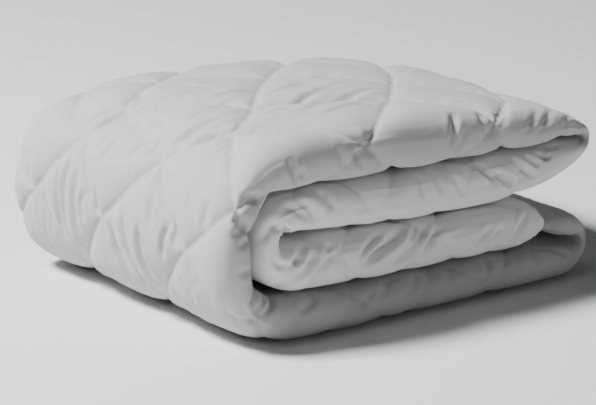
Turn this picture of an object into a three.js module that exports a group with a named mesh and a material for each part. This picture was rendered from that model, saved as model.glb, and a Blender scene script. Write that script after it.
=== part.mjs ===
// A light grey diamond-quilted comforter, folded for storage.
// The comforter is first folded lengthwise, so that each long edge of the pile is a soft
// rounded fold. The strip that this makes is then laid back and forth: its foot is turned
// back a little, it runs to the left as the bottom layer, rises in one broad fold, comes
// back as the top layer, turns down at the right, and curls round in the middle to its
// free end. All of it is one filled solid, because the comforter is one piece.
// Millimetres, +X along the layered face, +Y away from it, +Z up.

import * as THREE from "three";

// Driving dimensions

const SLIT = 3; // air left between two layers that lie on each other
const CAP_DEPTH = 46; // how deep the rounded long edges are, seen from above
const CAP_FULLNESS = 2.3; // exponent of the rounded edges: 2 is an ellipse, more is fuller
const SEAM_DEPTH = 9; // how far a quilting seam sinks into the filling
const SEAM_REACH = 34; // how far from a seam the filling is still drawn in
const SEAM_SHARPNESS = 1.6; // exponent of the sunk profile: more is a sharper valley
const HEM_LENGTH = 10; // a free end closes to its thin hem over about this length
const HEM_FADE = 30; // and the quilting dies out over this length before it
const FLOOR_LEVEL = 4.5; // height at which the filling is pressed flat by the surface below

// The strip's centre line, from the turned-back foot to the free end in the middle.
// x and z place the middle of the layer, thick is the layer with its share of the slit,
// near and far are where its two long edges lie in y.
const STATIONS = [
  { part: "foot end", x: 527, z: 78, thick: 12, near: 30, far: 508 },
  { part: "foot", x: 545, z: 79, thick: 36, near: 14, far: 520 },
  { part: "foot", x: 568, z: 77, thick: 35, near: 10, far: 520 },
  { part: "foot fold", x: 586, z: 70, thick: 29, near: 17, far: 510 },
  { part: "foot fold", x: 594, z: 55, thick: 26, near: 22, far: 505 },
  { part: "foot fold", x: 587, z: 40, thick: 30, near: 17, far: 510 },
  { part: "foot fold", x: 568, z: 31, thick: 42, near: 10, far: 518 },
  { part: "bottom", x: 550, z: 27, thick: 52, near: 4, far: 525 },
  { part: "bottom", x: 500, z: 28, thick: 54, near: 0, far: 530 },
  { part: "bottom", x: 400, z: 29, thick: 56, near: 0, far: 532 },
  { part: "bottom", x: 300, z: 29, thick: 57, near: 0, far: 532 },
  { part: "bottom", x: 200, z: 30, thick: 59, near: 0, far: 532 },
  { part: "bottom", x: 120, z: 31, thick: 62, near: 0, far: 532 },
  { part: "bottom", x: 60, z: 32, thick: 64, near: 0, far: 532 },
  { part: "left fold", x: 18, z: 42, thick: 64, near: 0, far: 532 },
  { part: "left fold", x: -14, z: 68, thick: 63, near: 0, far: 532 },
  { part: "left fold", x: -31, z: 104, thick: 62, near: 0, far: 532 },
  { part: "left fold", x: -35, z: 142, thick: 62, near: 0, far: 532 },
  { part: "left fold", x: -31, z: 180, thick: 63, near: 0, far: 532 },
  { part: "left fold", x: -14, z: 215, thick: 66, near: 0, far: 532 },
  { part: "left fold", x: 18, z: 240, thick: 72, near: 0, far: 532 },
  { part: "top", x: 62, z: 250, thick: 78, near: -2, far: 532 },
  { part: "top", x: 120, z: 251, thick: 81, near: -4, far: 532 },
  { part: "top", x: 200, z: 250, thick: 82, near: -6, far: 532 },
  { part: "top", x: 300, z: 246, thick: 79, near: -6, far: 532 },
  { part: "top", x: 400, z: 240, thick: 70, near: -6, far: 532 },
  { part: "top", x: 480, z: 233, thick: 58, near: -4, far: 530 },
  { part: "top", x: 540, z: 223, thick: 49, near: 0, far: 525 },
  { part: "right fold", x: 568, z: 214, thick: 38, near: 8, far: 520 },
  { part: "right fold", x: 585, z: 208, thick: 32, near: 16, far: 512 },
  { part: "right fold", x: 593, z: 195, thick: 28, near: 20, far: 508 },
  { part: "right fold", x: 587, z: 182, thick: 31, near: 16, far: 512 },
  { part: "right fold", x: 570, z: 173, thick: 39, near: 10, far: 518 },
  { part: "second", x: 550, z: 170, thick: 52, near: 8, far: 525 },
  { part: "second", x: 500, z: 167, thick: 64, near: 8, far: 528 },
  { part: "second", x: 440, z: 166, thick: 73, near: 8, far: 530 },
  { part: "second", x: 350, z: 166, thick: 74, near: 8, far: 530 },
  { part: "second", x: 250, z: 169, thick: 73, near: 8, far: 530 },
  { part: "second", x: 180, z: 173, thick: 71, near: 8, far: 530 },
  { part: "second", x: 120, z: 178, thick: 67, near: 8, far: 530 },
  { part: "second", x: 75, z: 180, thick: 62, near: 8, far: 530 },
  { part: "curl", x: 45, z: 177, thick: 57, near: 8, far: 530 },
  { part: "curl", x: 28, z: 168, thick: 49, near: 8, far: 530 },
  { part: "curl", x: 22, z: 147, thick: 45, near: 8, far: 530 },
  { part: "curl", x: 25, z: 127, thick: 50, near: 8, far: 530 },
  { part: "curl", x: 39, z: 114, thick: 60, near: 8, far: 530 },
  { part: "third", x: 75, z: 102, thick: 73, near: 6, far: 530 },
  { part: "third", x: 130, z: 102, thick: 76, near: 4, far: 530 },
  { part: "third", x: 200, z: 98, thick: 76, near: 4, far: 530 },
  { part: "third", x: 300, z: 95, thick: 72, near: 4, far: 530 },
  { part: "third", x: 400, z: 92, thick: 70, near: 4, far: 528 },
  { part: "third", x: 460, z: 91, thick: 68, near: 6, far: 526 },
  { part: "third", x: 490, z: 92, thick: 62, near: 8, far: 522 },
  { part: "third", x: 504, z: 92, thick: 50, near: 10, far: 518 },
  { part: "free end", x: 512, z: 92, thick: 26, near: 14, far: 514 },
];

// How high the pile stands across its depth: the far side has sunk.
const SINKING = [
  { y: -20, share: 1 },
  { y: 290, share: 1 },
  { y: 375, share: 0.985 },
  { y: 450, share: 0.945 },
  { y: 534, share: 0.884 },
];

// Steps along the strip: long on the flat layers inside, short on what shows and in the folds.
const STEPS = [
  { until: 18, step: 9 },
  { until: 130, step: 13 },
  { until: 630, step: 28 },
  { until: 1440, step: 20 },
  { until: 1540, step: 12 },
  { until: 2010, step: 36 },
  { until: 2150, step: 13 },
  { until: 2560, step: 32 },
  { until: 2600, step: 8 },
];

// The tight folds, where the filling is bent hard and the quilting is pulled out flat
const TIGHT_FOLDS = [
  { middle: 86, half: 46 },
  { middle: 1495, half: 42 },
  { middle: 2091, half: 52 },
];
const FOLD_EASE = 30; // the quilting comes back over this length on either side

// The layers under the top are pressed, so their quilting is shallower
const PRESSED_UNTIL = 620;
const PRESSED_FROM = 1500;
const PRESSED_FADE = 60;
const PRESSED_LOSS = 0.5;

// Steps round one cross-section
const OUTER_STEPS = 23; // on the face that shows on top and at the left
const INNER_STEPS = 10; // on the face that lies against other layers
const CAP_STEPS = 4; // on each quarter of a rounded edge

// The quilting is a lattice of two families of seams, laid by hand as it runs in the pile.
// A row says that seam number `line` passes the point `along` the strip and `across` it,
// where across is measured round the section from the middle of the near edge.
const RISING_SEAMS = [
  { line: 0, along: 787, across: 479 },
  { line: 0, along: 697, across: 392 },
  { line: 1, along: 859, across: 378 },
  { line: 1, along: 775, across: 311 },
  { line: 1, along: 691, across: 216 },
  { line: 1, along: 540, across: 0 },
  { line: 2, along: 949, across: 399 },
  { line: 2, along: 895, across: 330 },
  { line: 2, along: 865, across: 202 },
  { line: 2, along: 775, across: 113 },
  { line: 2, along: 703, across: 30 },
  { line: 3, along: 1225, across: 445 },
  { line: 3, along: 1033, across: 246 },
  { line: 3, along: 919, across: 132 },
  { line: 3, along: 835, across: 15 },
  { line: 4, along: 1321, across: 299 },
  { line: 4, along: 1190, across: 149 },
  { line: 4, along: 1060, across: 15 },
  { line: 5, along: 1406, across: 137 },
  { line: 5, along: 1249, across: -17 },
  { line: -1, along: 276, across: 7 },
  { line: 9, along: 1874, across: 0 },
  { line: 12, along: 2370, across: 0 },
  { line: 13, along: 2517, across: 0 },
];
const FALLING_SEAMS = [
  { line: 1, along: 787, across: 479 },
  { line: 1, along: 877, across: 371 },
  { line: 1, along: 997, across: 216 },
  { line: 1, along: 1190, across: 149 },
  { line: 1, along: 1273, across: 55 },
  { line: 1, along: 1291, across: -16 },
  { line: 2, along: 697, across: 385 },
  { line: 2, along: 775, across: 311 },
  { line: 2, along: 865, across: 200 },
  { line: 2, along: 919, across: 132 },
  { line: 2, along: 1003, across: 55 },
  { line: 2, along: 1085, across: -20 },
  { line: 3, along: 691, across: 205 },
  { line: 3, along: 775, across: 113 },
  { line: 3, along: 841, across: 23 },
  { line: -1, along: 1650, across: 0 },
  { line: -2, along: 1900, across: 0 },
  { line: -5, along: 2388, across: 0 },
];

// Smooth curve through the values of one column, over knots that grow unevenly:
// cubic Hermite pieces whose slopes are the weighted means of the neighbouring chords.
function smoothColumn(knots, values) {
  const last = knots.length - 1;
  const chord = (i) => (values[i + 1] - values[i]) / (knots[i + 1] - knots[i]);
  const slope = (i) => {
    if (i === 0) return chord(0);
    if (i === last) return chord(last - 1);
    const before = knots[i] - knots[i - 1];
    const after = knots[i + 1] - knots[i];
    return (chord(i) * before + chord(i - 1) * after) / (before + after);
  };
  const slopes = values.map((value, i) => slope(i));
  return (at) => {
    let i = 0;
    while (i < last - 1 && at >= knots[i + 1]) i += 1;
    const span = knots[i + 1] - knots[i];
    const u = (at - knots[i]) / span;
    const v = 1 - u;
    return (
      v * v * (1 + 2 * u) * values[i] +
      u * v * v * span * slopes[i] +
      u * u * (3 - 2 * u) * values[i + 1] -
      u * u * v * span * slopes[i + 1]
    );
  };
}

// Straight-line reading of a short table, held at its ends.
function readTable(rows, key, value, at) {
  const first = rows[0];
  const last = rows[rows.length - 1];
  if (at <= first[key]) return first[value];
  if (at >= last[key]) return last[value];
  const i = rows.findIndex((row) => row[key] > at);
  const share = (at - rows[i - 1][key]) / (rows[i][key] - rows[i - 1][key]);
  return THREE.MathUtils.lerp(rows[i - 1][value], rows[i][value], share);
}

// The centre line as evenly measured samples: place, layer sizes and outward direction.
function sampleStrip() {
  const columns = ["x", "z", "thick", "near", "far"];
  const knots = [0];
  for (let i = 1; i < STATIONS.length; i += 1) {
    const dx = STATIONS[i].x - STATIONS[i - 1].x;
    const dz = STATIONS[i].z - STATIONS[i - 1].z;
    knots.push(knots[i - 1] + Math.sqrt(Math.hypot(dx, dz)));
  }
  const curves = {};
  for (const column of columns) {
    curves[column] = smoothColumn(knots, STATIONS.map((station) => station[column]));
  }
  const count = 3000;
  const samples = [];
  let along = 0;
  for (let i = 0; i <= count; i += 1) {
    const at = (knots[knots.length - 1] * i) / count;
    const sample = {};
    for (const column of columns) sample[column] = curves[column](at);
    if (i > 0) {
      const previous = samples[i - 1];
      along += Math.hypot(sample.x - previous.x, sample.z - previous.z);
    }
    sample.along = along;
    samples.push(sample);
  }
  return samples;
}

// One ring's data at a distance along the strip, with the unit normal of its outer face.
function ringAt(samples, along) {
  const ring = { along };
  for (const column of ["x", "z", "thick", "near", "far"]) {
    ring[column] = readTable(samples, "along", column, along);
  }
  const reach = 3;
  const before = { x: 0, z: 0 };
  const after = { x: 0, z: 0 };
  for (const axis of ["x", "z"]) {
    before[axis] = readTable(samples, "along", axis, along - reach);
    after[axis] = readTable(samples, "along", axis, along + reach);
  }
  const dx = after.x - before.x;
  const dz = after.z - before.z;
  const length = Math.hypot(dx, dz);
  ring.outX = -dz / length;
  ring.outZ = dx / length;
  return ring;
}

// The closed section of one ring, as points { y, n }: n is the height over the layer's
// middle. It runs along the outer face away from the near edge, round the far edge, back
// along the inner face and round the near edge.
function sectionOf(ring) {
  const half = (ring.thick - SLIT) / 2;
  const power = 2 / CAP_FULLNESS;
  const points = [];
  const nearFlat = ring.near + CAP_DEPTH;
  const farFlat = ring.far - CAP_DEPTH;
  for (let i = 0; i <= OUTER_STEPS; i += 1) {
    points.push({ y: THREE.MathUtils.lerp(nearFlat, farFlat, i / OUTER_STEPS), n: half });
  }
  for (let i = 1; i < 2 * CAP_STEPS; i += 1) {
    const angle = (Math.PI / 2) * (i / CAP_STEPS);
    const y = farFlat + CAP_DEPTH * Math.pow(Math.sin(angle), power);
    const rise = Math.cos(angle);
    points.push({ y, n: half * Math.sign(rise) * Math.pow(Math.abs(rise), power) });
  }
  for (let i = 0; i <= INNER_STEPS; i += 1) {
    points.push({ y: THREE.MathUtils.lerp(farFlat, nearFlat, i / INNER_STEPS), n: -half });
  }
  for (let i = 1; i < 2 * CAP_STEPS; i += 1) {
    const angle = (Math.PI / 2) * (i / CAP_STEPS);
    const y = nearFlat - CAP_DEPTH * Math.pow(Math.sin(angle), power);
    const fall = Math.cos(angle);
    points.push({ y, n: -half * Math.sign(fall) * Math.pow(Math.abs(fall), power) });
  }
  return points;
}

// Distance round the section from the middle of the near edge, positive over the outer face.
function measureAcross(section) {
  const middle = section.length - CAP_STEPS;
  const lengths = [0];
  for (let i = 1; i <= section.length; i += 1) {
    const a = section[i - 1];
    const b = section[i % section.length];
    lengths.push(lengths[i - 1] + Math.hypot(b.y - a.y, b.n - a.n));
  }
  const whole = lengths[section.length];
  return section.map((point, i) => {
    const across = lengths[i] - lengths[middle];
    return across < -whole / 2 ? across + whole : across;
  });
}

// Outward direction of each section point in its own plane.
function sectionNormals(section) {
  const count = section.length;
  return section.map((point, i) => {
    const before = section[(i + count - 1) % count];
    const after = section[(i + 1) % count];
    const length = Math.hypot(after.y - before.y, after.n - before.n);
    return { y: -(after.n - before.n) / length, n: (after.y - before.y) / length };
  });
}

// Solves a small dense system by elimination with row exchange.
function solve(matrix, right) {
  const size = right.length;
  const rows = matrix.map((row, i) => [...row, right[i]]);
  for (let k = 0; k < size; k += 1) {
    let best = k;
    for (let i = k + 1; i < size; i += 1) {
      if (Math.abs(rows[i][k]) > Math.abs(rows[best][k])) best = i;
    }
    [rows[k], rows[best]] = [rows[best], rows[k]];
    for (let i = 0; i < size; i += 1) {
      if (i === k) continue;
      const factor = rows[i][k] / rows[k][k];
      for (let j = k; j <= size; j += 1) rows[i][j] -= factor * rows[k][j];
    }
  }
  return rows.map((row, i) => row[size] / row[i]);
}

// Smooth field over (along, across) that takes each row's line number at its point and
// grows evenly beyond them: a plane plus a weighted sum of the distances to the rows.
function seamField(rows) {
  const count = rows.length;
  const distance = (row, along, across) => Math.hypot(along - row.along, across - row.across);
  const plane = (along, across) => [1, along / 1000, across / 1000];
  const matrix = [];
  for (const row of rows) {
    const kernel = rows.map((other) => distance(other, row.along, row.across));
    matrix.push([...kernel, ...plane(row.along, row.across)]);
  }
  for (let term = 0; term < 3; term += 1) {
    const sums = rows.map((row) => plane(row.along, row.across)[term]);
    matrix.push([...sums, 0, 0, 0]);
  }
  const weights = solve(matrix, [...rows.map((row) => row.line), 0, 0, 0]);
  return (along, across) => {
    let value = 0;
    rows.forEach((row, i) => {
      value += weights[i] * distance(row, along, across);
    });
    plane(along, across).forEach((term, i) => {
      value += weights[count + i] * term;
    });
    return value;
  };
}

// Distance in millimetres from a point to the nearest seam of one family.
function seamDistance(field, along, across) {
  const probe = 4;
  const value = field(along, across);
  const slopeAlong = (field(along + probe, across) - value) / probe;
  const slopeAcross = (field(along, across + probe) - value) / probe;
  const steepness = Math.max(Math.hypot(slopeAlong, slopeAcross), 1 / 400);
  return Math.abs(value - Math.round(value)) / steepness;
}

// How far the cloth is drawn in at a point: deepest on a seam, nothing halfway between two.
function quiltDepth(fields, along, across, length) {
  let depth = 0;
  for (const field of fields) {
    const away = Math.min(seamDistance(field, along, across) / SEAM_REACH, 1);
    depth = Math.max(depth, SEAM_DEPTH * Math.pow(1 - away, SEAM_SHARPNESS));
  }
  const toEnd = Math.min(along, length - along);
  let strength = THREE.MathUtils.clamp((toEnd - HEM_LENGTH) / HEM_FADE, 0, 1);
  for (const fold of TIGHT_FOLDS) {
    const clear = (Math.abs(along - fold.middle) - fold.half) / FOLD_EASE;
    strength = Math.min(strength, THREE.MathUtils.clamp(clear, 0, 1));
  }
  const below = THREE.MathUtils.clamp((PRESSED_UNTIL - along) / PRESSED_FADE, 0, 1);
  const above = THREE.MathUtils.clamp((along - PRESSED_FROM) / PRESSED_FADE, 0, 1);
  return depth * strength * (1 - PRESSED_LOSS * (below + above));
}

// Distances along the strip at which it gets a ring.
function ringPlaces(length) {
  const places = [];
  let from = 0;
  for (const { until, step } of STEPS) {
    const to = Math.min(until, length);
    const count = Math.max(Math.round((to - from) / step), 1);
    for (let i = 0; i < count; i += 1) places.push(from + ((to - from) * i) / count);
    from = to;
  }
  places.push(length);
  return places;
}

// All rings as points with their quilting depth.
function layRings() {
  const samples = sampleStrip();
  const length = samples[samples.length - 1].along;
  const fields = [seamField(RISING_SEAMS), seamField(FALLING_SEAMS)];
  return ringPlaces(length).map((along) => {
    const ring = ringAt(samples, along);
    const section = sectionOf(ring);
    const across = measureAcross(section);
    const normals = sectionNormals(section);
    return section.map((point, i) => {
      const depth = quiltDepth(fields, along, across[i], length);
      const y = point.y - normals[i].y * depth;
      const n = point.n - normals[i].n * depth;
      const height = (ring.z + ring.outZ * n) * readTable(SINKING, "y", "share", y);
      const z = Math.max(height, FLOOR_LEVEL) - FLOOR_LEVEL;
      return { x: ring.x + ring.outX * n, y, z, depth, flatY: point.y, flatN: point.n };
    });
  });
}

// The closed skin over the rings. Each cell is split along the diagonal that the quilting
// runs along, so that the valleys stay unbroken.
function skinOf(rings) {
  const size = rings[0].length;
  const positions = [];
  for (const ring of rings) {
    for (const point of ring) positions.push(point.x, point.y, point.z);
  }
  const faces = [];
  for (let r = 0; r + 1 < rings.length; r += 1) {
    for (let i = 0; i < size; i += 1) {
      const j = (i + 1) % size;
      const a = r * size + i;
      const b = r * size + j;
      const c = (r + 1) * size + j;
      const d = (r + 1) * size + i;
      const alongAC = rings[r][i].depth + rings[r + 1][j].depth;
      const alongBD = rings[r][j].depth + rings[r + 1][i].depth;
      if (alongAC > alongBD) faces.push(a, c, b, a, d, c);
      else faces.push(a, d, b, b, d, c);
    }
  }
  const endFaces = (ring, first, turned) => {
    const outline = ring.map((point) => new THREE.Vector2(point.flatY, point.flatN));
    const clockwise = THREE.ShapeUtils.isClockWise(outline);
    for (const [a, b, c] of THREE.ShapeUtils.triangulateShape(outline, [])) {
      if (turned !== clockwise) faces.push(first + a, first + c, first + b);
      else faces.push(first + a, first + b, first + c);
    }
  };
  endFaces(rings[0], 0, false);
  endFaces(rings[rings.length - 1], (rings.length - 1) * size, true);
  const geometry = new THREE.BufferGeometry();
  geometry.setAttribute("position", new THREE.Float32BufferAttribute(positions, 3));
  geometry.setIndex(faces);
  return geometry;
}

// The folded comforter: soft matt cloth over its filling.
function makeComforter() {
  const geometry = skinOf(layRings());
  geometry.computeBoundingBox();
  const middle = geometry.boundingBox.getCenter(new THREE.Vector3());
  geometry.translate(-middle.x, -middle.y, -geometry.boundingBox.min.z);
  geometry.computeVertexNormals();
  const cloth = new THREE.MeshStandardMaterial({ color: 0xc4c6c9, roughness: 0.9, metalness: 0 });
  const mesh = new THREE.Mesh(geometry, cloth);
  mesh.name = "folded_comforter";
  return mesh;
}

const foldedComforter = new THREE.Group();
foldedComforter.add(makeComforter());

export default foldedComforter;
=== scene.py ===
import bpy
import math
import numpy as np
from mathutils import Matrix


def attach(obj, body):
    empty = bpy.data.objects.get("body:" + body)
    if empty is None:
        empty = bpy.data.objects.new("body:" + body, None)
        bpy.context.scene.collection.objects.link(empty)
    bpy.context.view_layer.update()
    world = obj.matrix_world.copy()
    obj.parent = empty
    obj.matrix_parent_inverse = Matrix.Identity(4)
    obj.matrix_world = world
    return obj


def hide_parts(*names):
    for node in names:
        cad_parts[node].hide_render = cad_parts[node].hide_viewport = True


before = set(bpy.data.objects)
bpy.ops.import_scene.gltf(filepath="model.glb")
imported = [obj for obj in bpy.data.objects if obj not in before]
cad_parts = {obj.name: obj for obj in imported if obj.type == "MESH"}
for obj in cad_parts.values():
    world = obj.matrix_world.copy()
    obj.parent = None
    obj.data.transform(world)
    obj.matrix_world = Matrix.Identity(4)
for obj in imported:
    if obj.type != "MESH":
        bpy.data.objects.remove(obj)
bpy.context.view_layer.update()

# Camera
# The photo's angle: 37 degrees round from the near face towards the left, 16 degrees up,
# from 4.4 m away with a long lens.

PHOTO = (596, 405)
AZIMUTH, ELEVATION = math.radians(-37.2), math.radians(15.6)
DISTANCE = 4.416
AIM = np.array([0.0016, 0.0250, 0.1355])
LENS_PIXELS = 3082.4
CENTRE_PIXEL = (296.5, 174.7)

back = np.array([
    math.sin(AZIMUTH) * math.cos(ELEVATION),
    -math.cos(AZIMUTH) * math.cos(ELEVATION),
    math.sin(ELEVATION),
])
right = np.array([math.cos(AZIMUTH), math.sin(AZIMUTH), 0.0])
up = np.cross(back, right)
camera_data = bpy.data.cameras.new("camera")
camera_data.sensor_width = 36.0
camera_data.lens = LENS_PIXELS * 36.0 / PHOTO[0]
camera_data.shift_x = (PHOTO[0] / 2 - CENTRE_PIXEL[0]) / PHOTO[0]
camera_data.shift_y = (CENTRE_PIXEL[1] - PHOTO[1] / 2) / PHOTO[0]
camera_data.clip_end = 60.0
camera = bpy.data.objects.new("camera", camera_data)
turn = Matrix([[right[i], up[i], back[i]] for i in range(3)]).to_4x4()
camera.matrix_world = Matrix.Translation(AIM + DISTANCE * back) @ turn
bpy.context.scene.collection.objects.link(camera)
bpy.context.scene.camera = camera

# The folded comforter
# One piece: a light grey brushed microfibre shell over soft filling, stitched through in
# diamonds, folded lengthwise and then back and forth into a pile. Millimetres until the
# mesh is made.

SLIT = 3.0  # air between two layers
CAP_DEPTH = 46.0  # depth of the rounded long edges
CAP_FULLNESS = 2.45  # exponent of the rounded edges
FLOOR_LEVEL = 4.5  # below this height the cloth is pressed flat by the floor
MIDDLE = (270.42, 262.96)  # the drawing's x and y of the frame's origin
SEAM_DEPTH = 7.0  # how far a seam is drawn in
SEAM_REACH = 44.0  # how far from the seam the filling is drawn in
SEAM_SHARPNESS = 2.6  # exponent of the valley
STITCH_DEPTH, STITCH_WIDTH = 1.4, 4.4  # the narrow groove that the thread pulls
HEM_LENGTH, HEM_FADE = 10.0, 30.0
HEM_BAND = 14.0  # width of the sewn band at the free end
PRESSED_UNTIL, PRESSED_FROM = 620.0, 1500.0  # outside this stretch the top presses the layers
PRESSED_FADE, PRESSED_LOSS = 60.0, 0.5
CORNER_PLACE, CORNER_SIZE, CORNER_LOSS = 640.0, 70.0, 0.65  # the pressed lower near corner
CREASE_DEPTH, CREASE_LOSS = 1.9, 1.3  # factor on the creases' depths, and what it can lose
WRINKLE_HEIGHT, GATHER_HEIGHT = 2.2, 2.6
PUSH_FRAMES, PUSH_PRESSURE, PUSH_CAP = 20, 160.0, 3.8  # the filling's push, and its most
CLOTH_SLACK = (1.02, 1.09, 1.02)  # how much wider than its place the cloth is cut
PAINTED_LIGHT_FROM, PAINTED_LIGHT_FADE = 1496.0, 16.0  # from here the cloth's reverse is outside, and from here the cloth is painted much lighter: painted light on the middle layers

# name, middle of the layer x, z, thickness, near edge y, far edge y
STATIONS = [
    ("foot end", 516, 79, 14, 30, 508),
    ("foot", 545, 78, 37, 14, 520),
    ("foot", 562, 75, 38, 10, 520),
    ("foot fold", 578, 68, 30, 17, 510),
    ("foot fold", 587, 55, 27, 22, 505),
    ("foot fold", 582, 41, 30, 17, 510),
    ("foot fold", 565, 31, 42, 10, 518),
    ("bottom", 546, 27, 52, 4, 525),
    ("bottom", 500, 28, 54, 0, 530),
    ("bottom", 400, 29, 56, 0, 532),
    ("bottom", 300, 29, 57, 0, 532),
    ("bottom", 200, 30, 59, 0, 532),
    ("bottom", 120, 31, 62, 0, 532),
    ("bottom", 60, 33, 66, 7, 532),
    ("left fold", 18, 43, 66, 9, 532),
    ("left fold", -14, 68, 63, 9, 532),
    ("left fold", -31, 104, 62, 4, 532),
    ("left fold", -35, 142, 62, 0, 532),
    ("left fold", -31, 180, 63, 0, 532),
    ("left fold", -14, 215, 66, 0, 532),
    ("left fold", 18, 240, 72, 0, 532),
    ("top", 62, 250, 78, -2, 532),
    ("top", 120, 251, 81, -4, 532),
    ("top", 200, 250, 82, -6, 532),
    ("top", 300, 246, 79, -6, 532),
    ("top", 400, 240, 70, -6, 532),
    ("top", 480, 233, 58, -4, 530),
    ("top", 540, 226, 42, 0, 525),
    ("right fold", 566, 219, 30, 8, 520),
    ("right fold", 582, 213, 22, 16, 512),
    ("right fold", 589, 204, 20, 20, 508),
    ("right fold", 585, 194, 22, 16, 512),
    ("right fold", 571, 187, 30, 10, 518),
    ("second", 548, 180, 45, 8, 525),
    ("second", 500, 170, 61, 8, 528),
    ("second", 440, 166, 73, 8, 530),
    ("second", 350, 166, 74, 8, 530),
    ("second", 250, 169, 73, 8, 530),
    ("second", 180, 173, 71, 8, 530),
    ("second", 120, 178, 67, 8, 530),
    ("second", 75, 180, 62, 8, 530),
    ("curl", 45, 177, 57, 8, 530),
    ("curl", 28, 168, 49, 8, 530),
    ("curl", 22, 147, 45, 8, 530),
    ("curl", 25, 127, 50, 8, 530),
    ("curl", 39, 114, 60, 8, 530),
    ("third", 75, 102, 73, 6, 530),
    ("third", 130, 102, 76, 4, 530),
    ("third", 200, 98, 76, 4, 530),
    ("third", 300, 95, 72, 4, 530),
    ("third", 400, 92, 70, 4, 528),
    ("third", 460, 92, 68, 6, 526),
    ("third", 480, 92, 63, 8, 522),
    ("third", 493, 92, 52, 10, 518),
    ("free end", 501, 92, 28, 14, 514),
]
# y, share of its height that the pile keeps there: the far side has sunk
SINKING = [(-20, 1.0), (290, 1.0), (375, 0.985), (450, 0.945), (534, 0.884)]
# end of a stretch of the strip, step of the rings on it
STEPS = [(130, 8), (630, 7), (1440, 5), (1540, 5), (2010, 7), (2150, 6), (2560, 7), (2606, 4)]
# middle and half length of the tight folds, where the quilting is pulled flat
TIGHT_FOLDS = [(88, 46), (1494, 42), (2090, 52)]
FOLD_EASE = 30.0
# seam number, a point on it: along the strip, across it from the middle of the near edge
RISING_SEAMS = [
    (0, 787, 479), (0, 697, 392), (1, 859, 378), (1, 775, 311), (1, 691, 216), (1, 540, 0),
    (2, 949, 399), (2, 895, 330), (2, 865, 202), (2, 775, 113), (2, 703, 30), (3, 1225, 445),
    (3, 1033, 246), (3, 919, 132), (3, 835, 15), (4, 1321, 299), (4, 1190, 149), (4, 1060, 15),
    (5, 1406, 137), (5, 1249, -17), (-1, 276, 7), (9, 1874, 0), (12, 2370, 0), (13, 2517, 0),
]
FALLING_SEAMS = [
    (1, 787, 479), (1, 877, 371), (1, 997, 216), (1, 1190, 149), (1, 1273, 55), (1, 1291, -16),
    (2, 697, 385), (2, 775, 311), (2, 865, 200), (2, 919, 132), (2, 1003, 55), (2, 1085, -20),
    (3, 691, 205), (3, 775, 113), (3, 841, 23), (-1, 1650, 0), (-2, 1900, 0), (-5, 2388, 0),
]

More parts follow.
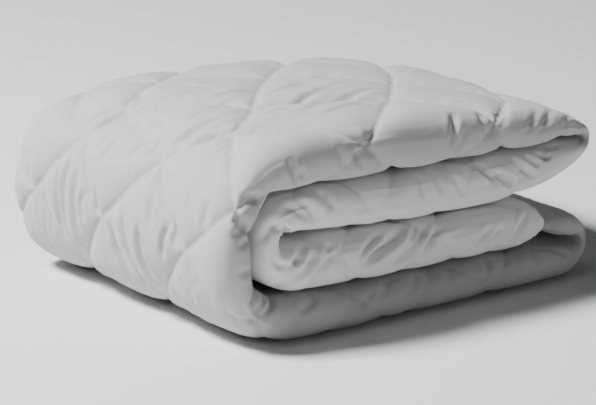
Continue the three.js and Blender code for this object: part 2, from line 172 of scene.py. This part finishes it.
# where it is, depth, half width, and start, middle and end as (along, across)
CREASES = [
    ("left face", 3.5, 6, (834, 422), (783, 413), (732, 405)),
    ("left face", 3.5, 6, (846, 393), (795, 398), (744, 389)),
    ("left face", 2.5, 6, (828, 369), (785, 370), (744, 363)),
    ("left face", 2.0, 5, (804, 347), (783, 355), (762, 347)),
    ("left face", 3.0, 4, (816, 326), (797, 325), (780, 318)),
    ("left face", 1.5, 6, (798, 450), (771, 444), (744, 435)),
    ("left face", 3.0, 6, (792, 288), (751, 279), (720, 253)),
    ("left face", 3.0, 6, (804, 253), (763, 246), (726, 222)),
    ("left face", 3.5, 6, (792, 209), (756, 210), (720, 193)),
    ("left face", 3.0, 5, (804, 149), (781, 157), (756, 157)),
    ("left face", 2.0, 4, (810, 127), (791, 136), (774, 127)),
    ("left face", 1.5, 6, (828, 186), (809, 187), (792, 179)),
    ("left face", 2.0, 5, (726, 157), (708, 142), (702, 120)),
    ("left face", 1.5, 5, (744, 127), (730, 111), (714, 98)),
    ("left face", 1.5, 7, (846, 121), (831, 102), (816, 84)),
    ("left face", 1.5, 6, (846, 69), (827, 69), (810, 76)),
    ("shoulder", 2.0, 6, (870, 400), (893, 381), (912, 359)),
    ("shoulder", 2.0, 5, (870, 378), (888, 356), (894, 328)),
    ("shoulder", 1.5, 6, (870, 430), (887, 423), (906, 424)),
    ("shoulder", 1.5, 6, (852, 341), (864, 334), (876, 327)),
    ("shoulder", 1.5, 6, (840, 326), (854, 314), (870, 305)),
    ("shoulder", 1.5, 6, (894, 336), (914, 364), (942, 383)),
    ("top fan", 2.5, 6, (876, 203), (910, 187), (948, 178)),
    ("top fan", 2.5, 6, (876, 188), (909, 176), (930, 147)),
    ("top fan", 2.0, 5, (888, 174), (903, 157), (918, 139)),
    ("top fan", 1.5, 6, (912, 219), (938, 221), (960, 208)),
    ("top fan", 1.5, 6, (876, 276), (894, 262), (900, 241)),
    ("top fan", 1.5, 6, (852, 260), (867, 260), (876, 247)),
    ("top fan", 1.5, 5, (864, 231), (876, 232), (888, 233)),
    ("top back", 1.8, 6, (930, 353), (976, 355), (1008, 320)),
    ("top back", 1.8, 6, (990, 393), (1033, 385), (1074, 373)),
    ("top back", 1.8, 5, (936, 324), (976, 306), (1014, 283)),
    ("top back", 1.8, 6, (1002, 342), (1049, 335), (1092, 314)),
    ("top back", 1.5, 6, (978, 267), (1020, 276), (1062, 269)),
    ("top back", 1.5, 6, (912, 300), (930, 272), (948, 244)),
    ("top back", 1.5, 6, (954, 237), (965, 218), (984, 216)),
    ("top middle", 2.0, 6, (984, 186), (1027, 195), (1068, 180)),
    ("top middle", 2.0, 6, (960, 156), (999, 157), (1038, 150)),
    ("top middle", 1.5, 6, (942, 141), (967, 126), (996, 120)),
    ("top middle", 2.0, 6, (1044, 239), (1094, 254), (1146, 254)),
    ("top middle", 2.0, 6, (1038, 180), (1103, 209), (1170, 232)),
    ("top middle", 2.2, 6, (1026, 128), (1091, 160), (1158, 187)),
    ("top middle", 2.0, 6, (1038, 98), (1093, 121), (1152, 135)),
    ("top middle", 1.5, 6, (1110, 151), (1155, 181), (1206, 194)),
    ("top middle", 1.5, 6, (1116, 299), (1164, 306), (1212, 298)),
    ("top right", 1.5, 6, (1272, 229), (1327, 236), (1356, 194)),
    ("top right", 1.5, 6, (1236, 163), (1290, 171), (1320, 130)),
    ("top right", 1.5, 6, (1302, 108), (1333, 97), (1332, 62)),
    ("top right", 2.0, 6, (1260, 43), (1260, 21), (1260, 0)),
    ("near edge", 4.0, 5, (930, 18), (936, -10), (948, -35)),
    ("near edge", 3.5, 5, (942, 0), (945, -9), (948, -19)),
    ("near edge", 2.0, 7, (1008, 19), (1014, 0), (1020, -20)),
    ("near edge", 2.0, 6, (1032, 11), (1042, -3), (1044, -20)),
    ("near edge", 2.5, 6, (1218, 44), (1206, 18), (1200, -10)),
    ("near edge", 2.0, 6, (1230, 18), (1218, 1), (1212, -19)),
    ("near edge", 3.0, 6, (1374, 37), (1347, 11), (1320, -16)),
    ("near edge", 3.5, 6, (1428, 57), (1382, 18), (1338, -23)),
    ("near edge", 3.0, 5, (1446, 24), (1416, 12), (1410, -13)),
    ("near edge", 2.5, 5, (1338, 77), (1312, 36), (1278, 0)),
    ("corner", 2.2, 6, (852, 23), (865, 6), (864, -16)),
    ("corner", 2.2, 6, (834, 23), (829, 4), (822, -15)),
    ("corner", 1.9, 6, (798, 8), (804, -7), (804, -22)),
    ("corner", 1.9, 6, (762, 8), (762, -8), (756, -22)),
    ("corner", 1.7, 6, (810, 15), (817, 5), (816, -8)),
    ("corner", 2.8, 6, (726, -30), (715, -16), (708, 0)),
    ("corner", 1.9, 6, (672, -50), (685, -21), (696, 8)),
    ("corner", 1.7, 6, (642, -50), (666, -23), (684, 8)),
    ("corner", 1.9, 6, (600, -23), (616, -10), (624, 8)),
    ("second", 4.5, 5, (1633, -33), (1618, -9), (1597, 8)),
    ("second", 3.9, 5, (1609, -31), (1600, -19), (1591, -8)),
    ("second", 5.2, 5, (1675, -18), (1653, -2), (1633, 17)),
    ("second", 3.2, 5, (1585, -30), (1576, -22), (1567, -14)),
    ("second", 3.2, 5, (1561, -37), (1552, -31), (1543, -26)),
    ("second", 3.9, 5, (1705, -43), (1688, -20), (1669, 0)),
    ("second", 3.2, 5, (1633, -17), (1627, -3), (1633, 9)),
    ("second", 2.6, 5, (1807, -43), (1807, -21), (1807, 0)),
    ("second", 2.6, 5, (1777, -43), (1777, -21), (1771, 0)),
    ("second", 2.0, 5, (1747, -26), (1739, -7), (1729, 10)),
    ("second", 3.9, 6, (2035, -22), (2013, -4), (1993, 16)),
    ("second", 5.2, 6, (2017, -23), (1995, -3), (1981, 24)),
    ("second", 3.2, 6, (1975, -32), (1969, -16), (1963, 0)),
    ("curl", 5.2, 6, (2075, -13), (2036, 37), (2131, 29)),
    ("curl", 3.9, 6, (2077, -19), (2061, -11), (2047, 0)),
    ("curl", 3.9, 5, (2095, 0), (2114, 0), (2131, 8)),
    ("curl", 4.5, 6, (2118, -36), (2135, 7), (2167, 42)),
    ("curl", 3.9, 6, (2137, -49), (2136, -17), (2155, 9)),
    ("third", 6.5, 6, (2149, 23), (2143, 15), (2137, 8)),
    ("third", 6.5, 6, (2179, 25), (2157, 4), (2143, -23)),
    ("third", 5.9, 6, (2209, 18), (2186, 0), (2173, -25)),
    ("third", 3.9, 5, (2209, 35), (2187, 10), (2167, -17)),
    ("third", 5.2, 6, (2317, 35), (2284, 12), (2251, -10)),
    ("third", 3.9, 5, (2299, 35), (2269, 23), (2245, 0)),
    ("third", 5.2, 6, (2341, 43), (2304, 18), (2263, 0)),
    ("third", 4.5, 6, (2365, 43), (2332, 9), (2299, -26)),
    ("third", 3.9, 5, (2383, 43), (2348, 11), (2311, -18)),
    ("third", 3.2, 5, (2401, 33), (2372, 10), (2347, -18)),
    ("third", 3.2, 5, (2395, 9), (2408, -3), (2419, -17)),
    ("third", 3.2, 5, (2557, 24), (2534, 1), (2515, -25)),
    ("third", 3.2, 5, (2485, 17), (2463, 1), (2443, -17)),
    ("third", 2.6, 5, (2509, 9), (2487, 2), (2479, -17)),
    ("third", 3.2, 5, (2551, 0), (2545, -18), (2533, -33)),
    ("bottom", 4.0, 6, (276, -47), (286, -19), (300, 7)),
    ("bottom", 2.5, 6, (222, -46), (228, -23), (228, 0)),
    ("bottom", 2.5, 6, (192, -46), (197, -27), (198, -7)),
    ("bottom", 3.0, 6, (582, -62), (586, -31), (618, -15)),
    ("bottom", 2.5, 6, (402, -47), (421, -18), (450, 0)),
    ("bottom", 2.0, 6, (348, -37), (358, -17), (372, 0)),
    ("bottom", 3.0, 6, (486, -29), (504, -14), (522, 0)),
    ("bottom", 2.5, 6, (444, -47), (464, -27), (486, -8)),
    ("foot", 4.0, 5, (6, -11), (47, -24), (90, -8)),
    ("foot", 3.0, 5, (6, 3), (9, 1), (12, 0)),
    ("foot", 3.0, 6, (186, -36), (154, -26), (132, 0)),
]


def smooth_column(knots, values, at):
    """Cubic Hermite curve over uneven knots: the slope at a knot is the mean of its two chords,
    each weighted with the length of the other one."""
    chords = np.diff(values) / np.diff(knots)
    steps = np.diff(knots)
    slopes = np.empty_like(values)
    slopes[1:-1] = (chords[1:] * steps[:-1] + chords[:-1] * steps[1:]) / (steps[1:] + steps[:-1])
    slopes[0], slopes[-1] = chords[0], chords[-1]
    i = np.clip(np.searchsorted(knots, at, side="right") - 1, 0, len(knots) - 2)
    span = knots[i + 1] - knots[i]
    u = (at - knots[i]) / span
    v = 1 - u
    ends = v * v * (1 + 2 * u) * values[i] + u * u * (3 - 2 * u) * values[i + 1]
    return ends + u * v * span * (v * slopes[i] - u * slopes[i + 1])


def strip_line():
    """The strip's centre line: distance along it, and x, z, thickness, near and far there."""
    rows = np.array([row[1:] for row in STATIONS], dtype=float)
    chords = np.hypot(np.diff(rows[:, 0]), np.diff(rows[:, 1]))
    knots = np.concatenate([[0.0], np.cumsum(np.sqrt(chords))])
    at = np.linspace(0.0, knots[-1], 3001)
    columns = [smooth_column(knots, rows[:, k].copy(), at) for k in range(5)]
    steps = np.hypot(np.diff(columns[0]), np.diff(columns[1]))
    return np.concatenate([[0.0], np.cumsum(steps)]), columns


def ring_places(length, halved):
    """Distances along the strip of its rings, from the table of steps."""
    places, start = [], 0.0
    for until, step in STEPS:
        end = min(until, length)
        count = max(int(round((end - start) / step)), 1)
        if halved:
            count *= 2
        places.append(start + (end - start) * np.arange(count) / count)
        start = end
    return np.concatenate(places + [[length]])


def section_shape(outer, cap, inner):
    """A section in three numbers a point: the place on the flat from near (0) to far (1), the
    reach into the near (-1) or far (1) rounded edge, and the height from -1 to 1. The edges
    are superellipses: reach = sin(t)^(2/e), height = cos(t)^(2/e)."""
    power = 2 / CAP_FULLNESS
    t = np.pi / 2 * np.arange(1, 2 * cap) / cap
    reach = np.sin(t) ** power
    height = np.sign(np.cos(t)) * np.abs(np.cos(t)) ** power
    out = np.linspace(0, 1, outer + 1)
    home = np.linspace(1, 0, inner + 1)
    flat = np.concatenate([out, np.ones_like(t), home, np.zeros_like(t)])
    ends = np.concatenate([out * 0, reach, home * 0, -reach])
    heights = np.concatenate([out * 0 + 1, height, home * 0 - 1, -height])
    return flat, ends, heights


def lay(places, shape, middle):
    """The surface before the quilting: a ring's point is the centre line's plus its height in
    the direction across the layer. Returns points and (along, across) of a grid."""
    line, columns = strip_line()
    x, z, thick, near, far = [np.interp(places, line, column)[:, None] for column in columns]
    ahead = [np.interp(places + 3, line, c) for c in columns[:2]]
    behind = [np.interp(places - 3, line, c) for c in columns[:2]]
    dx, dz = ahead[0] - behind[0], ahead[1] - behind[1]
    size = np.hypot(dx, dz)
    out_x, out_z = (-dz / size)[:, None], (dx / size)[:, None]
    flat, ends, heights = shape
    half = (thick - SLIT) / 2
    y = near + CAP_DEPTH + (far - near - 2 * CAP_DEPTH) * flat + CAP_DEPTH * ends
    n = half * heights
    points = np.stack([x + out_x * n, y, z + out_z * n], axis=-1)
    steps = np.hypot(np.roll(y, -1, 1) - y, np.roll(n, -1, 1) - n)
    across = np.cumsum(steps, axis=1) - steps
    across = across - across[:, middle:middle + 1]
    whole = steps.sum(axis=1)[:, None]
    across = np.where(across < -whole / 2, across + whole, across)
    return points, np.broadcast_to(places[:, None], across.shape), across


def settle(points):
    """The pile's sunk far side, and its underside pressed flat on the floor."""
    share = np.interp(points[..., 1], *np.array(SINKING).T)
    height = np.maximum(points[..., 2] * share, FLOOR_LEVEL) - FLOOR_LEVEL
    return np.stack([points[..., 0] - MIDDLE[0], points[..., 1] - MIDDLE[1], height], axis=-1)


def grid_normals(points):
    """Unit normals of a grid that is closed along its second axis."""
    along = np.gradient(points, axis=0)
    across = (np.roll(points, -1, 1) - np.roll(points, 1, 1)) / 2
    normals = np.cross(along, across)
    return normals / np.maximum(np.linalg.norm(normals, axis=-1, keepdims=True), 1e-9)


def seam_field(rows, along, across):
    """Smooth field that takes each row's number at its point: a plane plus a weighted sum of
    the distances to the rows."""
    table = np.array(rows, dtype=float)
    number, at, over = table.T
    kernel = np.hypot(at[:, None] - at, over[:, None] - over)
    plane = np.stack([np.ones_like(at), at / 1000, over / 1000], axis=1)
    top = np.concatenate([kernel, plane], axis=1)
    low = np.concatenate([plane.T, np.zeros((3, 3))], axis=1)
    weights = np.linalg.solve(np.concatenate([top, low]), np.concatenate([number, np.zeros(3)]))
    value = weights[-3] + weights[-2] * along / 1000 + weights[-1] * across / 1000
    for weight, a, o in zip(weights, at, over):
        value = value + weight * np.hypot(along - a, across - o)
    return value


def seam_family(rows, along, across):
    """The field, its steepness a millimetre, and the distance to the family's nearest seam."""
    value = seam_field(rows, along, across)
    rise = seam_field(rows, along + 4, across) - value
    climb = seam_field(rows, along, across + 4) - value
    steep = np.maximum(np.hypot(rise, climb) / 4, 1 / 400)
    return value, steep, np.abs(value - np.round(value)) / steep


def quilting_strength(along, across, length):
    """1 where the seams show, 0 at the free ends and in the tight folds, half on the layers that
    lie under the top, and less in the pressed lower near corner, by exp(-d^2 / size^2)."""
    to_end = np.minimum(along, length - along)
    strength = np.clip((to_end - HEM_LENGTH) / HEM_FADE, 0, 1)
    for middle, half in TIGHT_FOLDS:
        strength = np.minimum(strength, np.clip((np.abs(along - middle) - half) / FOLD_EASE, 0, 1))
    below = np.clip((PRESSED_UNTIL - along) / PRESSED_FADE, 0, 1)
    beyond = np.clip((along - PRESSED_FROM) / PRESSED_FADE, 0, 1)
    corner = np.exp(-(((along - CORNER_PLACE) / CORNER_SIZE) ** 2) - (across / CORNER_SIZE) ** 2)
    return strength * (1 - PRESSED_LOSS * (below + beyond)) * (1 - CORNER_LOSS * corner)


def midpoints(grid, axis, closed):
    """The grid with a point put between every two along an axis: (9(b + c) - a - d) / 16."""
    moved = np.moveaxis(grid, axis, 0)
    if closed:
        a, c, d = np.roll(moved, 1, 0), np.roll(moved, -1, 0), np.roll(moved, -2, 0)
        between = (9 * (moved + c) - a - d) / 16
        out = np.stack([moved, between], axis=1).reshape(-1, *moved.shape[1:])
    else:
        padded = np.concatenate([moved[:1], moved, moved[-1:]])
        between = (9 * (padded[1:-2] + padded[2:-1]) - padded[:-3] - padded[3:]) / 16
        out = np.empty((2 * len(moved) - 1, *moved.shape[1:]))
        out[::2], out[1::2] = moved, between
    return np.moveaxis(out, 0, axis)


def grid_mesh(name, points):
    """A closed mesh over a grid of rings, with its two end rings as faces."""
    rings, size = points.shape[:2]
    index = np.arange(rings * size).reshape(rings, size)
    beside = np.roll(index, -1, 1)
    faces = np.stack([index[:-1], index[1:], beside[1:], beside[:-1]], axis=-1).reshape(-1, 4)
    ends = [index[0].tolist(), index[-1][::-1].tolist()]
    mesh = bpy.data.meshes.new(name)
    mesh.from_pydata((points.reshape(-1, 3) / 1000).tolist(), [], faces.tolist() + ends)
    mesh.update()
    return mesh


def quilted(places, shape, middle):
    """The quilted surface before the filling pushes: the valley at a distance d from the
    nearest seam is depth (1 - d / reach)^sharpness. Returns points, along, across, the two
    families, the distance to the nearest seam and the quilting's strength."""
    points, along, across = lay(places, shape, middle)
    points = settle(points)
    normals = grid_normals(points)
    rising = seam_family(RISING_SEAMS, along, across)
    falling = seam_family(FALLING_SEAMS, along, across)
    away = np.minimum(rising[2], falling[2])
    strength = quilting_strength(along, across, places[-1])
    valley = SEAM_DEPTH * np.clip(1 - away / SEAM_REACH, 0, 1) ** SEAM_SHARPNESS
    points = points - normals * (valley * strength)[..., None]
    points[..., 2] = np.maximum(points[..., 2], 0.0)
    return points, along, across, rising, falling, away, strength


def hem(along, length):
    """The sewn band at the free end: a groove at its inner side, -d exp(-(x / w)^2), and a
    slightly raised rim."""
    groove = np.exp(-(((length - HEM_BAND - along) / 2.2) ** 2))
    rim = np.exp(-(((length - 3 - along) / 4) ** 2))
    return 1.2 * rim - 2.6 * groove


def random_lattice(i, j, seed):
    """A fixed random number from 0 to 1 for each lattice point."""
    wave = np.sin(i * 127.1 + j * 311.7 + seed * 74.7) * 43758.5453
    return wave - np.floor(wave)


def noise(u, v, seed):
    """Smooth noise from 0 to 1: random lattice values joined by 3t^2 - 2t^3."""
    i, j = np.floor(u), np.floor(v)
    s, t = u - i, v - j
    s, t = s * s * (3 - 2 * s), t * t * (3 - 2 * t)
    low = random_lattice(i, j, seed) * (1 - s) + random_lattice(i + 1, j, seed) * s
    high = random_lattice(i, j + 1, seed) * (1 - s) + random_lattice(i + 1, j + 1, seed) * s
    return low * (1 - t) + high * t


def crease_factor(along):
    """Factor on the creases' depths: the whole, and less at the right fold, where it falls in
    a ramp, at the curl and on the bottom layer."""
    right_fold = np.clip((along - 1240) / 60, 0, 1) * (along < 1520)
    curl = 0.6 * (np.abs(along - 2130) < 70)
    bottom = 0.55 * (along < PRESSED_UNTIL)
    return CREASE_DEPTH - CREASE_LOSS * (right_fold + curl + bottom)


def creases(along, across):
    """Height of the placed creases. Each follows the curve (1-u)(1-2u) a + 4u(1-u) b + u(2u-1) c
    through its three points. At q half widths from it the height is
    -depth (1 - 0.5 q^2) exp(-q^2 / 2): a trough with a soft ridge on either side. It fades to
    its ends with min(1, 5u(1-u))."""
    height = np.zeros_like(across)
    u = np.linspace(0, 1, 9)[:, None]
    for _, depth, half_width, *three in CREASES:
        a, b, c = [np.array(point, dtype=float) for point in three]
        curve = (1 - u) * (1 - 2 * u) * a + 4 * u * (1 - u) * b + u * (2 * u - 1) * c
        low, high = curve.min(0) - 5 * half_width, curve.max(0) + 5 * half_width
        near = (along > low[0]) & (along < high[0]) & (across > low[1]) & (across < high[1])
        x, y = along[near], across[near]
        best, place = np.full(x.shape, 1e9), np.zeros(x.shape)
        for k in range(len(curve) - 1):
            leg = curve[k + 1] - curve[k]
            share = ((x - curve[k, 0]) * leg[0] + (y - curve[k, 1]) * leg[1]) / (leg @ leg)
            share = np.clip(share, 0, 1)
            gap = np.hypot(x - curve[k, 0] - share * leg[0], y - curve[k, 1] - share * leg[1])
            place = np.where(gap < best, (k + share) / (len(curve) - 1), place)
            best = np.minimum(best, gap)
        q = best / half_width
        fade = np.minimum(1, 5 * place * (1 - place))
        depths = depth * crease_factor(x) * fade
        height[near] -= depths * (1 - 0.5 * q * q) * np.exp(-q * q / 2)
    return height


def puckers(rising, falling):
    """Gathers that the stitching makes: short wrinkles square to each seam, strongest on it,
    exp(-d / 16). The other family's field counts the way along a seam."""
    height = np.zeros_like(rising[0])
    for seed, own, other in ((1, rising, falling), (2, falling, rising)):
        lane = np.round(own[0]) * 17.3
        side = np.sign(own[0] - np.round(own[0]))
        ripple = noise(other[0] * 15 + lane, side * 2.5 + own[2] / 45, seed) - 0.5
        height += GATHER_HEIGHT * ripple * np.exp(-own[2] / 16) * (1 - np.exp(-own[2] / 3.5))
    return height


def wrinkles(along, across):
    """Shallow tension wrinkles that run along the strip, in patches."""
    bend = 14 * noise(along / 90, across / 70, 5)
    ridge = 1 - np.abs(2 * noise(along / 75, (across + bend) / 10, 6) - 1)
    patch = np.clip(2.2 * noise(along / 70, across / 60, 7) - 0.8, 0, 1)
    return WRINKLE_HEIGHT * (ridge - 0.5) * patch


def push_filling(sheet, free, frames, pressure, slack):
    """The filling pushes an open sheet of the cloth outwards between its seams. The cloth is
    cut wider than the surface, by the factors in slack, so it wrinkles. free is 1 where it can
    move and 0 where it is held. Returns how each point of the grid moves."""
    rings, size = sheet.shape[:2]
    index = np.arange(rings * size).reshape(rings, size)
    corners = [index[:-1, :-1], index[1:, :-1], index[1:, 1:], index[:-1, 1:]]
    mesh = bpy.data.meshes.new("pushed")
    flat = (sheet.reshape(-1, 3) / 1000).tolist()
    mesh.from_pydata(flat, [], np.stack(corners, axis=-1).reshape(-1, 4).tolist())
    body = bpy.data.objects.new("pushed", mesh)
    bpy.context.scene.collection.objects.link(body)
    held = body.vertex_groups.new(name="held")
    tenths = np.round((1 - free.reshape(-1)) * 10)
    for level in range(11):
        held.add(np.flatnonzero(tenths == level).tolist(), level / 10, "REPLACE")
    body.shape_key_add(name="Basis")
    wide = body.shape_key_add(name="wide")
    wide.value = 0.0
    wide.data.foreach_set("co", (sheet * np.array(slack) / 1000).reshape(-1))
    modifier = body.modifiers.new("cloth", "CLOTH")
    settings = modifier.settings
    settings.quality = 5
    settings.mass = 0.002
    settings.tension_stiffness = settings.compression_stiffness = 5.0
    settings.shear_stiffness = 2.0
    settings.bending_stiffness = 0.004
    settings.tension_damping = settings.compression_damping = settings.shear_damping = 0.1
    settings.bending_damping = 0.0
    settings.vertex_group_mass = "held"
    settings.pin_stiffness = 1.0
    settings.rest_shape_key = wide
    settings.use_pressure = True
    settings.uniform_pressure_force = pressure
    settings.effector_weights.gravity = 0.0
    modifier.collision_settings.use_collision = False
    modifier.point_cache.frame_start = 1
    modifier.point_cache.frame_end = frames
    scene = bpy.context.scene
    for moment in range(1, frames + 1):
        scene.frame_set(moment)
    evaluated = body.evaluated_get(bpy.context.evaluated_depsgraph_get())
    moved = np.empty(sheet.size)
    evaluated.data.vertices.foreach_get("co", moved)
    scene.frame_set(1)
    bpy.data.objects.remove(body)
    return moved.reshape(sheet.shape) * 1000 - sheet


def freedom(along, height, away, level):
    """1 where the filling can move the cloth, 0 where it is held: on the layers that the top
    presses, at the section's lower side, within 3 of a seam and at the floor. The changes
    are straight ramps of 60, 40, 0.5, 6 and 6."""
    share = np.clip((along - PRESSED_UNTIL) / 60, 0, 1) * np.clip((PRESSED_FROM - along) / 40, 0, 1)
    share = share * np.clip((height + 0.8) / 0.5, 0, 1) * np.clip((away - 3) / 6, 0, 1)
    return share * np.clip(level / 6, 0, 1)


# points of the section: on its outer flat, on half a rounded edge, on its inner flat
OUTER, CAP, INNER = 88, 14, 9
line, _ = strip_line()
length = line[-1]
places = ring_places(length, halved=False)
shape = section_shape(OUTER, CAP, INNER)
size = len(shape[0])
points, along, _, _, _, away, _ = quilted(places, shape, size - CAP)
height = np.broadcast_to(shape[2], along.shape)
free = freedom(along, height, away, points[..., 2])
shown = np.flatnonzero((places > PRESSED_UNTIL - 30) & (places < PRESSED_FROM + 20))
rolled = 2 * CAP - 1
wide = 2 * rolled + OUTER + 1
pick = np.ix_(shown, (np.arange(wide) - rolled) % size)
motion = np.zeros_like(points)
motion[pick] = push_filling(points[pick], free[pick], PUSH_FRAMES, PUSH_PRESSURE, CLOTH_SLACK)
amount = np.linalg.norm(motion, axis=-1, keepdims=True)
motion = motion * (PUSH_CAP * np.tanh(amount / PUSH_CAP) / np.maximum(amount, 1e-6))

places = ring_places(length, halved=True)
shape = section_shape(2 * OUTER, 2 * CAP, 2 * INNER)
size = len(shape[0])
points, along, across, rising, falling, away, strength = quilted(
    places, shape, size - 2 * CAP
)
motion = midpoints(midpoints(motion, 0, closed=False), 1, closed=True)
points = points + motion
normals = grid_normals(points)
relief = creases(along, across) + puckers(rising, falling) * strength
relief = relief + wrinkles(along, across) + hem(along, length)
relief = relief - STITCH_DEPTH * strength * np.exp(-((away / STITCH_WIDTH) ** 2))
flatness = np.clip(points[..., 2] / 8, 0, 1)
points = points + normals * (relief * flatness)[..., None]
points[..., 2] = np.maximum(points[..., 2], 0.0)

comforter = bpy.data.objects.new("comforter", grid_mesh("comforter", points))
bpy.context.scene.collection.objects.link(comforter)
comforter.data.polygons.foreach_set("use_smooth", [True] * len(comforter.data.polygons))
for name, values in (
    ("along", along),
    ("across", across),
    ("rising", rising[0]),
    ("falling", falling[0]),
    ("rising_steep", rising[1]),
    ("falling_steep", falling[1]),
):
    layer = comforter.data.attributes.new(name, "FLOAT", "POINT")
    layer.data.foreach_set("value", values.reshape(-1).astype(np.float32))


class Sum:
    """A number in a shader, with the arithmetic of Python."""

    def __init__(self, tree, socket):
        self.tree, self.socket = tree, socket

    def node(self, operation, *others):
        made = self.tree.nodes.new("ShaderNodeMath")
        made.operation = operation
        for slot, value in zip(made.inputs, (self,) + others):
            if isinstance(value, Sum):
                self.tree.links.new(value.socket, slot)
            else:
                slot.default_value = value
        return Sum(self.tree, made.outputs[0])

    def __add__(self, other):
        return self.node("ADD", other)

    def __sub__(self, other):
        return self.node("SUBTRACT", other)

    def __mul__(self, other):
        return self.node("MULTIPLY", other)

    def __truediv__(self, other):
        return self.node("DIVIDE", other)

    def __rsub__(self, other):
        return self.node("MULTIPLY", -1.0).node("ADD", other)

    __radd__ = __add__
    __rmul__ = __mul__


cloth = bpy.data.materials.new("comforter_cloth")
cloth.use_nodes = True
tree = cloth.node_tree
shader = tree.nodes["Principled BSDF"]


def stored(name):
    """A value that the mesh stores at its points."""
    made = tree.nodes.new("ShaderNodeAttribute")
    made.attribute_name = name
    return Sum(tree, made.outputs["Fac"])


def texture(scale, detail):
    """Noise from 0 to 1 over the object's coordinates."""
    place = tree.nodes.new("ShaderNodeTexCoord")
    made = tree.nodes.new("ShaderNodeTexNoise")
    made.inputs["Scale"].default_value = scale
    made.inputs["Detail"].default_value = detail
    tree.links.new(place.outputs["Object"], made.inputs["Vector"])
    return Sum(tree, made.outputs["Fac"])


def thread(own, steep, other):
    """Height of the sewing thread on one family of seams: round stitches with gaps between,
    from the distance to the seam and the way along it."""
    offset = (stored(own) + 0.5).node("FRACT") - 0.5
    gap = offset.node("ABSOLUTE") / stored(steep)
    line = (1.0 - gap * 0.9).node("MAXIMUM", 0.0)
    stitch = ((stored(other) * 42.0).node("FRACT") - 0.5).node("ABSOLUTE")
    height = (0.42 - stitch).node("MULTIPLY", 6.0).node("MAXIMUM", 0.0)
    return line * height.node("MINIMUM", 1.0)


# the middle layers, which show the cloth's reverse, are painted a much lighter grey: painted light
# that stands in for the brighter light falling on them
painted_light_share = ((stored("along") - PAINTED_LIGHT_FROM) / PAINTED_LIGHT_FADE).node("MAXIMUM", 0.0)
painted_light_share = painted_light_share.node("MINIMUM", 1.0)
mottle = texture(55.0, 3.0) * 0.05 + 0.975
# the second grey is painted light: far lighter than the face, it stands in for the light on the
# middle layers
for_face, painted_light_colour = (0.44, 0.45, 0.47), (0.79, 0.79, 0.79)
colour = tree.nodes.new("ShaderNodeCombineColor")
for slot, face, painted_light_channel in zip(colour.inputs, for_face, painted_light_colour):
    value = (painted_light_share * (painted_light_channel - face) + face) * mottle
    tree.links.new(value.socket, slot)
tree.links.new(colour.outputs["Color"], shader.inputs["Base Color"])
shader.inputs["Roughness"].default_value = 0.88
shader.inputs["Sheen Weight"].default_value = 0.2
shader.inputs["Sheen Roughness"].default_value = 0.5
shader.inputs["Specular IOR Level"].default_value = 0.3
nap = texture(900.0, 2.0) * 0.25 + texture(160.0, 3.0) * 0.35
stitches = thread("rising", "rising_steep", "falling")
stitches = stitches + thread("falling", "falling_steep", "rising")
bump = tree.nodes.new("ShaderNodeBump")
bump.inputs["Strength"].default_value = 0.5
bump.inputs["Distance"].default_value = 0.0008
tree.links.new((nap + stitches * 0.8).socket, bump.inputs["Height"])
tree.links.new(bump.outputs["Normal"], shader.inputs["Normal"])
comforter.data.materials.append(cloth)

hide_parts("folded_comforter")
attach(comforter, "root")

# Stage: a plain pale floor and plain soft light
# A large soft light high on the left, and a weak wide one low in front.

floor_mesh = bpy.data.meshes.new("floor")
floor_mesh.from_pydata([(-20, -20, 0), (20, -20, 0), (20, 20, 0), (-20, 20, 0)], [], [(0, 1, 2, 3)])
floor = bpy.data.objects.new("floor", floor_mesh)
bpy.context.scene.collection.objects.link(floor)
floor_paint = bpy.data.materials.new("floor")
floor_paint.use_nodes = True
floor_shader = floor_paint.node_tree.nodes["Principled BSDF"]
floor_shader.inputs["Base Color"].default_value = (0.8, 0.8, 0.8, 1.0)
floor_shader.inputs["Roughness"].default_value = 0.9
floor_mesh.materials.append(floor_paint)


def area_light(name, place, size, watts):
    """A square area light that faces the middle of the pile."""
    data = bpy.data.lights.new(name, "AREA")
    data.size, data.energy = size, watts
    light = bpy.data.objects.new(name, data)
    towards = np.array(place) - np.array([0.0, 0.0, 0.12])
    towards = towards / np.linalg.norm(towards)
    side = np.cross([0.0, 0.0, 1.0], towards)
    side = side / np.linalg.norm(side)
    rise = np.cross(towards, side)
    light.matrix_world = Matrix.Translation(place) @ Matrix(
        [[side[i], rise[i], towards[i]] for i in range(3)]
    ).to_4x4()
    bpy.context.scene.collection.objects.link(light)
    return light


key = area_light("key", (-2.6, 1.2, 3.8), 1.0, 550.0)
fill = area_light("fill", (1.0, -4.2, 0.3), 1.8, 16.0)
world = bpy.data.worlds.new("world")
world.use_nodes = True
world.node_tree.nodes["Background"].inputs["Color"].default_value = (0.95, 0.97, 1.0, 1.0)
world.node_tree.nodes["Background"].inputs["Strength"].default_value = 0.06
bpy.context.scene.world = world
